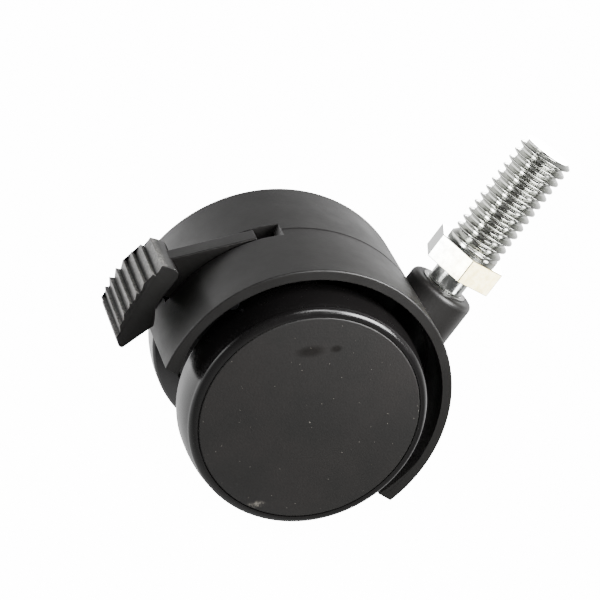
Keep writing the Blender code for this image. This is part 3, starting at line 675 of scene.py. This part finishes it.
def thread_surface(name, stem):
    """The threaded rod as a grid of rings: right-handed crests that run out just above the hex."""
    around, rise = 120, 0.00005          # steps round each ring, and between rings
    crest = stem.major / 2
    depth = 0.6134 * stem.pitch          # of a 60 degree thread
    crest_end, flank = 0.05, 0.33        # in turns from the middle of a crest
    root_share = 0.45                    # how much of the flank is eased into the root
    fade = 0.9                           # slope of the last groove as it runs out
    origin = stem.start - 1.5 * stem.pitch
    bottom = -stem.hex_height / 2
    rows = int((THREAD_TOP - bottom) / rise)
    bm = bmesh.new()
    rings = []
    for j in range(rows + 1):
        height = bottom + (THREAD_TOP - bottom) * j / rows
        ring = []
        for i in range(around):
            angle = 2 * pi * i / around
            phase = (height - origin) / stem.pitch - (angle - radians(stem.turn)) / (2 * pi)
            away = abs(phase - floor(phase) - 0.5)
            eased = smooth_step(crest_end - 0.005, crest_end + flank + 0.005, away)
            straight = min(1, max(0, (away - crest_end) / flank))
            radius = crest - depth * (eased * root_share + straight * (1 - root_share))
            radius = max(radius, crest - max(0.0, height - stem.runout) * fade)
            radius = min(radius, crest - stem.lead + (THREAD_TOP - height))
            ring.append(bm.verts.new((radius * cos(angle), radius * sin(angle), height)))
        rings.append(ring)
    for low, high in zip(rings, rings[1:]):
        for i in range(around):
            j = (i + 1) % around
            bm.faces.new((low[i], low[j], high[j], high[i]))
    bm.faces.new(rings[0])
    bm.faces.new(rings[-1])
    return finish_mesh(bm, name, 60.0)


def hexagon(name, stem):
    """The hex with its corners eased at top and bottom."""
    corner = stem.flats / sqrt(3)
    outline = [(corner * cos(radians(stem.hex_turn + 60 * k)), corner * sin(radians(stem.hex_turn + 60 * k)))
               for k in range(6)]
    bm = bmesh.new()
    low = [bm.verts.new((x, y, -stem.hex_height)) for x, y in outline]
    high = [bm.verts.new((x, y, 0)) for x, y in outline]
    for i in range(6):
        j = (i + 1) % 6
        bm.faces.new((low[i], low[j], high[j], high[i]))
    bm.faces.new(low)
    bm.faces.new(high)
    return round_edges(finish_mesh(bm, name), stem.hex_ease, 3, 30.0)


def shank(name, stem):
    """The plain shank below the hex, grooved for the snap ring."""
    root = stem.shank - stem.groove
    top, bottom = RING_HIGH.z + LOOSE_FIT, RING_LOW.z - LOOSE_FIT
    return turned(name, rounded([
        (0, -stem.hex_height / 2, 0), (stem.shank, -stem.hex_height / 2, 0), (stem.shank, top, 0),
        (root, top, 0), (root, bottom, 0), (stem.shank, bottom, 0),
        (stem.shank, SHANK_END, stem.shank_round), (0, SHANK_END, 0)], False), ROUND, closed=False)


class CASTER_OT_stem(bpy.types.Operator):
    """Build the zinc-plated stem: thread, hex and shank in one piece"""
    bl_idname = "caster.stem"
    bl_label = "Build Stem"

    def execute(self, context):
        settings = context.scene.caster
        stem = thread_surface("stem", settings.stem)
        combine(stem, "UNION", hexagon("hex", settings.stem))
        combine(stem, "UNION", shank("shank", settings.stem))
        stem.data.set_sharp_from_angle(angle=radians(80))    # the thread's crests are rolled round
        flat = radians(settings.stem.hex_turn + 270)
        reach = settings.stem.flats / 2

        def yellow(spot, _normal):
            """Full on one flat of the hex, none on the rest of it or the shank, a trace on the thread."""
            across = spot.x * cos(flat) + spot.y * sin(flat)
            return smooth_step(reach * 0.96, reach, across) if spot.z < 0.0001 else 0.06

        paint(stem, "yellow", yellow)
        install(stem, "stem", bright_zinc_plate(settings.finish), "zinc_plated_steel", "threaded_stem")
        return {"FINISHED"}


def hood_shell(hood):
    """The hood's wall with its thickened lips, the web and the walls round the lever."""
    inside = hood.radius - hood.wall
    embed = inside + hood.wall / 2
    shell = turned("hood", rounded([
        (hood.radius, hood.half_width, hood.rim_round), (hood.radius, hood.seam_half, 0),
        (hood.radius + hood.seam_height, 0, 0), (hood.radius, -hood.seam_half, 0),
        (hood.radius, -hood.half_width, hood.rim_round),
        (inside, -hood.half_width, 0), (inside, hood.half_width, 0)]),
        FINE, AXLE, "+Y")
    lips = rod("lips", embed, 2 * hood.half_width - OVERRUN / 2, FINE, AXLE)
    lip_centre = AXLE + Vector((0, 0, hood.lip_shift))
    combine(lips, "DIFFERENCE", rod("lip_curve", inside, THROUGH, FINE, lip_centre))
    clevis = rod("clevis", embed, 2 * CLEVIS_HALF, FINE, AXLE)
    combine(clevis, "INTERSECT",
            block("room", (AXLE.x - hood.radius, -THROUGH, POCKET_FOOT - hood.clevis_end),
                  (POCKET_END + hood.clevis_end, THROUGH, AXLE.z + hood.radius)))
    combine(shell, "UNION", lips, rod("web", embed, hood.web, FINE, AXLE), clevis)
    reach = hood.radius + THROUGH
    return combine(shell, "DIFFERENCE",
                   block("trim_brake_side", (AXLE.x - reach, -THROUGH, AXLE.z - reach),
                         (AXLE.x + OVERRUN / 2, THROUGH, AXLE.z - hood.brake_end)),
                   block("trim_stem_side", (AXLE.x - OVERRUN / 2, -THROUGH, AXLE.z - reach),
                         (AXLE.x + reach, THROUGH, AXLE.z - hood.stem_end)))


def arm_pocket(hood):
    """The space that the lever's arm moves in, from its slot in the hood down to its pivot."""
    slot_x = about_axle(hood.radius, hood.slot_angle)[0]
    inside = hood.radius - hood.wall
    slot_foot = AXLE.z + sqrt(inside ** 2 - (slot_x - AXLE.x) ** 2) + hood.wall / 3
    reach = hood.radius + THROUGH
    return slab("pocket", [
        (AXLE.x - reach, AXLE.z + reach), (slot_x, AXLE.z + reach), (slot_x, slot_foot),
        (POCKET_END, PIVOT.z + HUB_RADIUS + hood.pocket_rise), (POCKET_END, POCKET_FOOT),
        (AXLE.x - reach, POCKET_FOOT)], hood.slot_half)


def bar_window(hood):
    """The opening in the lever's side walls that the brake bar swings through."""
    reach = hypot(BAR.x - PIVOT.x, BAR.z - PIVOT.z)
    start = degrees(atan2(BAR.z - PIVOT.z, BAR.x - PIVOT.x)) % 360
    margin = BAR_RADIUS + hood.window_gap
    spread = degrees(asin(margin / reach)) + 2          # two degrees to spare at each end
    centre = (PIVOT.x, PIVOT.z)
    return slab("window", arc(centre, reach - margin, start + spread, start - LEVER_LIFT - spread, 12)
                + arc(centre, reach + margin, start - LEVER_LIFT - spread, start + spread, 12),
                CLEVIS_HALF + OVERRUN)


class CASTER_OT_hood(bpy.types.Operator):
    """Build the housing: hood, web, stem boss, axle boss and the walls round the lever"""
    bl_idname = "caster.hood"
    bl_label = "Build Housing"

    def execute(self, context):
        settings = context.scene.caster
        hood = settings.hood
        housing = hood_shell(hood)
        boss_foot = DISC_LOW.z - hood.boss_floor
        socket_foot = DISC_LOW.z - LOOSE_FIT
        socket_radius = SLEEVE_RADIUS + PRESS_FIT
        combine(housing, "UNION",
                turned("boss", rounded([
                    (0, BOSS_TOP, 0), (hood.boss_radius, BOSS_TOP, hood.boss_round),
                    (hood.boss_radius, boss_foot, 0), (0, boss_foot, 0)], False, 8), ROUND, closed=False),
                rod("axle_boss", AXLE_RADIUS + hood.axle_boss_wall, 2 * hood.axle_boss_half, ROUND, AXLE))
        combine(housing, "DIFFERENCE",
                turned("socket", [(0, 0), (socket_radius, 0), (socket_radius, socket_foot),
                                  (0, socket_foot)], ROUND, closed=False),
                arm_pocket(hood),
                rod("axle_bore", AXLE_RADIUS + PRESS_FIT, THROUGH, ROUND, AXLE),
                rod("pin_bore", PIN_RADIUS + PRESS_FIT, THROUGH, ROUND, PIVOT),
                bar_window(hood))
        install(housing, "housing", moulded_nylon_satin(settings.finish, hood.edge_round), "housing_nylon",
                "housing")
        return {"FINISHED"}


class CASTER_OT_wheels(bpy.types.Operator):
    """Build both wheels and their caps"""
    bl_idname = "caster.wheels"
    bl_label = "Build Wheels"

    def execute(self, context):
        settings = context.scene.caster
        wheel = settings.wheel
        gloss = polished_nylon_gloss(settings.finish)
        matt = grained_nylon_matt(settings.finish)
        place = AXLE + Vector((0, WHEEL_DRIFT, 0))
        shoulder = wheel.radius - wheel.fall
        edge = CAP_FACE - wheel.bead
        crown = WHEEL_INNER + wheel.crown
        seat = CAP_RADIUS + wheel.joint
        back = CAP_FACE - CAP_THICKNESS - wheel.joint
        inside = wheel.radius - wheel.wall
        web_edge = inside - wheel.draft
        bore = AXLE_RADIUS + RUNNING_FIT
        hub = AXLE_RADIUS + wheel.hub_wall
        hub_end = WHEEL_INNER + wheel.hub_back
        tread = [(wheel.radius - wheel.fall * (k / 12) ** 2, crown + (edge - crown) * k / 12)
                 for k in range(11, -1, -1)]
        profile = ([(seat, back), (seat, CAP_FACE - wheel.seat_drop)]
                   + arc((shoulder - wheel.bead, edge), wheel.bead, 90, 0, 16) + tread
                   + arc((wheel.radius - wheel.edge_round, WHEEL_INNER + wheel.edge_round),
                         wheel.edge_round, 0, -90, 6)
                   + [(inside, WHEEL_INNER), (web_edge, wheel.web_inner), (hub, wheel.web_inner),
                      (hub, hub_end), (bore, hub_end), (bore, wheel.web_outer),
                      (web_edge, wheel.web_outer), (inside, back)])
        cover = rounded([(0, CAP_FACE, 0), (CAP_RADIUS, CAP_FACE, wheel.cap_round),
                         (CAP_RADIUS, CAP_FACE - CAP_THICKNESS, 0), (0, CAP_FACE - CAP_THICKNESS, 0)],
                        False, 5)
        for side, facing in (("left", "+Y"), ("right", "-Y")):
            rim = turned(f"rim_{side}", profile, FINE, place, facing)
            install(rim, f"wheel_{side}", gloss, "wheel_nylon", f"wheel_{side}")
            cap = turned(f"cap_{side}", cover, FINE, place, facing, False)
            install(cap, f"wheel_{side}", matt, "cap_nylon", f"wheel_cap_{side}")
        return {"FINISHED"}


def rib_frame(pedal):
    """Centre of the ribbed face, the angle between ribs and the angle of the first."""
    face = AXLE.x - HOOD_RADIUS - pedal.gap - pedal.depth
    centre = (face + pedal.rib_curve, AXLE.z + (pedal.top - pedal.tip) / 2 + 0.0003)
    step = degrees(pedal.rib_pitch / pedal.rib_curve)
    return centre, step, 180 - step * (pedal.ribs - 1) / 2


def pad_outline(pedal):
    """The foot pad's side view: stepped ribs, round tip and hollow inner face, corners eased."""
    centre, step, first = rib_frame(pedal)
    corners = []
    for i in range(pedal.ribs):
        angle = first + step * i
        if i:
            corners.append((*arc(centre, pedal.rib_curve - pedal.rib_depth, angle - step * 0.12, 0, 1)[0],
                            0.00005))
        corners.append((*arc(centre, pedal.rib_curve, angle, 0, 1)[0], 0.00008))
    tip = (corners[-1][0] + pedal.tip_inset, AXLE.z - pedal.tip + pedal.tip_round)
    corners += [(x, z, 0) for x, z in arc(tip, pedal.tip_round, 200, 300, 8)]
    inner = AXLE.x - HOOD_RADIUS - pedal.gap
    top = AXLE.z + pedal.top
    # Steps in and up from the inner face at the axle's height, and then at the pad's top, with fillets.
    hollow = ((0.0010, -0.0032, 0.0004), (0.0006, -0.0022, 0.0004), (-0.0004, -0.0005, 0.0006),
              (-0.0004, 0.0020, 0.0006))
    head = ((0.0, -0.0012, 0.0004), (-0.0004, -0.0003, 0.0003), (-0.0012, 0.0, 0.0003),
            (-0.0024, -0.0002, 0.0002))
    corners += [(inner + x, AXLE.z + z, fillet) for x, z, fillet in hollow]
    corners += [(inner + x, top + z, fillet) for x, z, fillet in head]
    return rounded(corners, True, 3)


def worn_pad(pedal):
    """The foot pad, chewed a little along its ribs towards the ends."""
    x, z = rib_frame(pedal)[0]
    centre = Vector((x, 0, z))
    span = pedal.top + pedal.tip

    def half_width(z):
        share = (AXLE.z + pedal.top - z) / span
        return pedal.half_top + (pedal.half_tip - pedal.half_top) * share

    pad = slab("pad", pad_outline(pedal), 1.0, 41, half_width)
    round_edges(pad, pedal.pad_ease, 3, 60.0)
    for vertex in pad.data.vertices:
        away = Vector((vertex.co.x, 0, vertex.co.z)) - centre
        on_ridge = smooth_step(pedal.rib_curve - 0.0005, pedal.rib_curve, away.length)
        to_end = smooth_step(0.55, 1.0, abs(vertex.co.y) / half_width(vertex.co.z))
        chip = noise.fractal(vertex.co * MM * 1.3, 0.8, 2.0, 4)
        if away.x < 0:
            vertex.co += away.normalized() * on_ridge * (0.35 + 0.65 * to_end) * chip * pedal.chip
    pad.data.update()
    return pad


class CASTER_OT_lever(bpy.types.Operator):
    """Build the brake lever: slotted arm, hub and ribbed foot pad in one piece"""
    bl_idname = "caster.lever"
    bl_label = "Build Brake Lever"

    def execute(self, context):
        settings = context.scene.caster
        pedal = settings.pedal
        tail = AXLE.x - HOOD_RADIUS - pedal.gap - 0.0016          # inside the pad
        neck, neck_half = PIVOT.x - 0.0012, pedal.hub - OVERRUN   # inside the hub
        nose, nose_round = about_axle(HOOD_RADIUS + 0.0001, 137.6), 0.00025   # just proud of the hood
        heel, heel_round = PIVOT.x - 0.0059, 0.001
        lever = slab("lever", rounded([
            (*nose, nose_round), (neck, PIVOT.z + neck_half, 0), (neck, PIVOT.z - neck_half, 0),
            (heel, ARM_FOOT, heel_round), (tail, ARM_FOOT, 0), (tail, AXLE.z + pedal.top - OVERRUN, 0)]),
            pedal.arm / 2)
        round_edges(lever, pedal.arm_ease, 3, 50.0)
        combine(lever, "UNION", worn_pad(pedal))
        combine(lever, "DIFFERENCE", rod("bar_bore", BAR_RADIUS + PRESS_FIT, THROUGH, ROUND, BAR))
        combine(lever, "UNION", rod("hub", pedal.hub, pedal.arm + OVERRUN, ROUND, PIVOT))
        combine(lever, "DIFFERENCE", rod("pin_bore", PIN_RADIUS + RUNNING_FIT, THROUGH, ROUND, PIVOT))
        centre = rib_frame(pedal)[0]
        pad_back = AXLE.x - HOOD_RADIUS - pedal.gap - 0.0022

        def wear_and_highlight(spot, normal):
            """Scraping of the ribs, stronger towards the right, with a wider pale band on their ledges that
            is a painted highlight; none on back and sides.
            """
            if spot.x > pad_back or abs(normal.y) > 0.6:
                return 0.0
            away = hypot(spot.x - centre[0], spot.z - centre[1])
            # The wider band on upward-facing ledges is a painted highlight, the narrow one real scraping.
            scraped = 0.0007 if normal.z > 0.5 else 0.0002
            ridge = smooth_step(pedal.rib_curve - scraped, pedal.rib_curve, away)
            near_end = smooth_step(0.0010, -0.0050, spot.y)
            return ridge * (0.6 + 0.4 * near_end) + 0.07 * near_end

        # Paints the scuffs, and on the upward ledges a painted highlight.
        paint(lever, "wear_and_highlight", wear_and_highlight)
        install(lever, "brake_lever", scuffed_nylon_painted_highlight(settings.finish), "housing_nylon", "brake_lever")
        return {"FINISHED"}


class CASTER_OT_hardware(bpy.types.Operator):
    """Give the steel pieces inside the caster their finishes"""
    bl_idname = "caster.hardware"
    bl_label = "Finish Hardware"

    def execute(self, context):
        finish = context.scene.caster.finish
        wearing = {
            turned_steel(finish): ("socket_sleeve", "thrust_disc", "axle", "spacer_washer_left",
                                   "spacer_washer_right", "brake_pivot_pin"),
            spring_steel(finish): ("stem_snap_ring", "axle_clip_left", "axle_clip_right"),
            # The brake bar is coloured nearly black as painted shade for the shaded gap it sits in.
            dark_steel_painted_shade(finish): ("brake_bar",),
        }
        for material, nodes in wearing.items():
            for name in nodes:
                mesh = frame["nodes"][name].data
                mesh.materials.clear()
                mesh.materials.append(material)
        return {"FINISHED"}


# ---- stage -----------------------------------------------------------------------------------

HEX_CENTRE = Vector((0, 0, -0.0022))         # what the stem's own lights point at
CAMERA_PLACE = Vector((-0.220502, -0.381534, 0.089143))
CAMERA_AZIMUTH = -27.70
CAMERA_ELEVATION = 14.54
CAMERA_ROLL = 37.24
CAMERA_LENS = 160.49


def facing_rotation(back, roll):
    """Rotation of a camera or light that looks against back, rolled about its own view, in degrees."""
    level = Vector((0, 0, 1)).cross(back).normalized()
    upright = back.cross(level)
    right = level * cos(radians(roll)) + upright * sin(radians(roll))
    return Matrix((right, back.cross(right), back)).transposed()


def direction(azimuth, elevation):
    """Unit vector towards an azimuth and elevation; azimuth 0 lies towards -Y and 90 towards +X."""
    a, e = radians(azimuth), radians(elevation)
    return Vector((sin(a) * cos(e), -cos(a) * cos(e), sin(e)))


def add_softbox(name, way, distance, size, power, target=AXLE, only=None):
    """A rectangular studio light that faces the object, flagged off all but the pieces in only."""
    light = bpy.data.lights.new(name, "AREA")
    light.shape = "RECTANGLE"
    light.size, light.size_y = size
    light.energy = power
    obj = bpy.data.objects.new(name, light)
    bpy.context.scene.collection.objects.link(obj)
    back = direction(*way)
    obj.matrix_world = Matrix.Translation(target + back * distance) @ facing_rotation(back, 0).to_4x4()
    obj.visible_camera = False
    obj.light_linking.receiver_collection = only
    return obj


def mirrored(facing):
    """Azimuth and elevation that the camera sees in an upright face turned to an angle about Z."""
    face = Vector((cos(radians(facing)), sin(radians(facing)), 0))
    seen = direction(CAMERA_AZIMUTH, CAMERA_ELEVATION)
    way = face * 2 * face.dot(seen) - seen
    return degrees(atan2(way.x, -way.y)), degrees(asin(way.z))


# Name, azimuth and elevation, distance, width and height in metres, and power in watts.
SOFTBOXES = (
    ("softbox_near", (22, 49), 0.11, (0.05, 0.05), 0.34),
    ("softbox_front", (CAMERA_AZIMUTH, 58), 0.25, (0.12, 0.06), 0.28),
)
# The same for the strips that light the stem alone: two that its hex mirrors, and one behind it.
STRIPS = (
    ("strip_left", mirrored(221), 0.16, (0.05, 0.07), 0.42),
    ("strip_right", mirrored(281), 0.16, (0.05, 0.06), 0.17),
    ("strip_back", (CAMERA_AZIMUTH + 180, CAMERA_ELEVATION), 0.32, (0.10, 0.08), 1.1),
)


def camera_ray(tree):
    return add(tree, "ShaderNodeLightPath").outputs["Is Camera Ray"]


def light_tent():
    """World: a white backdrop, brightest low down, that falls away to a dark room in front."""
    world = bpy.data.worlds.new("light_tent")
    bpy.context.scene.world = world
    world.use_nodes = True
    tree = world.node_tree
    tree.nodes.clear()
    way = add(tree, "ShaderNodeTexCoord").outputs["Generated"]
    opening = direction(CAMERA_AZIMUTH, CAMERA_ELEVATION)
    towards = add(tree, "ShaderNodeVectorMath", {0: way, 1: opening},
                  operation="DOT_PRODUCT").outputs["Value"]
    parts = add(tree, "ShaderNodeSeparateXYZ", {"Vector": way}).outputs
    shade = maths(tree, "MULTIPLY", remap(tree, parts["Z"], 0.15, 0.60, 1.0, 0.30),
                  remap(tree, parts["X"], -0.2, 0.5, 0.95, 2.0))
    level = maths(tree, "MULTIPLY", remap(tree, towards, -0.5, 0.1, 1.3, 0.10), shade)
    tent = add(tree, "ShaderNodeBackground", {"Color": (1, 1, 1, 1), "Strength": level})
    plain = add(tree, "ShaderNodeBackground", {"Color": (1, 1, 1, 1), "Strength": 16.0})
    both = add(tree, "ShaderNodeMixShader", {0: camera_ray(tree), 1: tent.outputs[0], 2: plain.outputs[0]})
    add(tree, "ShaderNodeOutputWorld", {"Surface": both.outputs[0]})


def opal_acrylic_table(finish):
    """Opal acrylic lit from beneath, brighter towards the back: white, with hardly a shadow on it."""
    material, tree = new_material("opal_acrylic_table")
    place = add(tree, "ShaderNodeTexCoord").outputs["Object"]
    parts = add(tree, "ShaderNodeSeparateXYZ", {"Vector": place}).outputs
    lamps = maths(tree, "MULTIPLY", remap(tree, parts["Y"], -0.03, 0.02, 0.08, 1.4),
                  remap(tree, parts["X"], -0.12, 0.06, 2.4, 1.0))
    sheet = add(tree, "ShaderNodeBsdfDiffuse", {"Color": (*finish.table, 1.0)})
    level = add(tree, "ShaderNodeMix", {"Factor": camera_ray(tree), 2: lamps, 3: 15.0}, data_type="FLOAT")
    glow = add(tree, "ShaderNodeEmission", {"Color": (1, 1, 1, 1), "Strength": level.outputs[0]})
    both = add(tree, "ShaderNodeAddShader", {0: sheet.outputs[0], 1: glow.outputs[0]})
    add(tree, "ShaderNodeOutputMaterial", {"Surface": both.outputs[0]})
    return material


class CASTER_OT_stage(bpy.types.Operator):
    """Lay the table, hang the lights and place the camera"""
    bl_idname = "caster.stage"
    bl_label = "Set Stage"

    def execute(self, context):
        bm = bmesh.new()
        bmesh.ops.create_grid(bm, x_segments=1, y_segments=1, size=3.0,
                              matrix=Matrix.Translation((0, 0, CAD_BOX[0].z - 0.0001)))
        table = finish_mesh(bm, "table")
        table.data.materials.append(opal_acrylic_table(context.scene.caster.finish))
        light_tent()
        for softbox in SOFTBOXES:
            add_softbox(*softbox)
        metal = bpy.data.collections.new("bright_metal")
        metal.objects.link(bpy.data.objects["stem"])
        for strip in STRIPS:
            add_softbox(*strip, HEX_CENTRE, metal)
        lens = bpy.data.cameras.new("studio_camera")
        lens.lens = CAMERA_LENS
        lens.clip_start, lens.clip_end = 0.01, 20.0
        camera = bpy.data.objects.new("studio_camera", lens)
        context.scene.collection.objects.link(camera)
        turn = facing_rotation(direction(CAMERA_AZIMUTH, CAMERA_ELEVATION), CAMERA_ROLL)
        camera.matrix_world = Matrix.Translation(CAMERA_PLACE) @ turn.to_4x4()
        context.scene.camera = camera
        return {"FINISHED"}


# ---- panel and registration ------------------------------------------------------------------

OPERATORS = (CASTER_OT_stem, CASTER_OT_hood, CASTER_OT_wheels, CASTER_OT_lever, CASTER_OT_hardware,
             CASTER_OT_stage)


class CASTER_PT_panel(bpy.types.Panel):
    """Settings of the caster and the operators that build it"""
    bl_label = "Twin-Wheel Caster"
    bl_idname = "CASTER_PT_panel"
    bl_space_type = "VIEW_3D"
    bl_region_type = "UI"
    bl_category = "Caster"

    def draw(self, context):
        settings = context.scene.caster
        for name in ("hood", "wheel", "stem", "pedal", "finish"):
            box = self.layout.box()
            box.label(text=name.title())
            group = getattr(settings, name)
            for key in group.__annotations__:
                box.prop(group, key)
        for operator in OPERATORS:
            self.layout.operator(operator.bl_idname)


CLASSES = (CasterHood, CasterWheel, CasterStem, CasterPedal, CasterFinish, CasterSettings, *OPERATORS,
           CASTER_PT_panel)


def register():
    for cls in CLASSES:
        bpy.utils.register_class(cls)
    bpy.types.Scene.caster = PointerProperty(type=CasterSettings)


def unregister():
    del bpy.types.Scene.caster
    for cls in reversed(CLASSES):
        bpy.utils.unregister_class(cls)


def main():
    register()
    bpy.ops.caster.stem()
    bpy.ops.caster.hood()
    bpy.ops.caster.wheels()
    bpy.ops.caster.lever()
    bpy.ops.caster.hardware()
    bpy.ops.caster.stage()


if __name__ == "__main__":
    main()
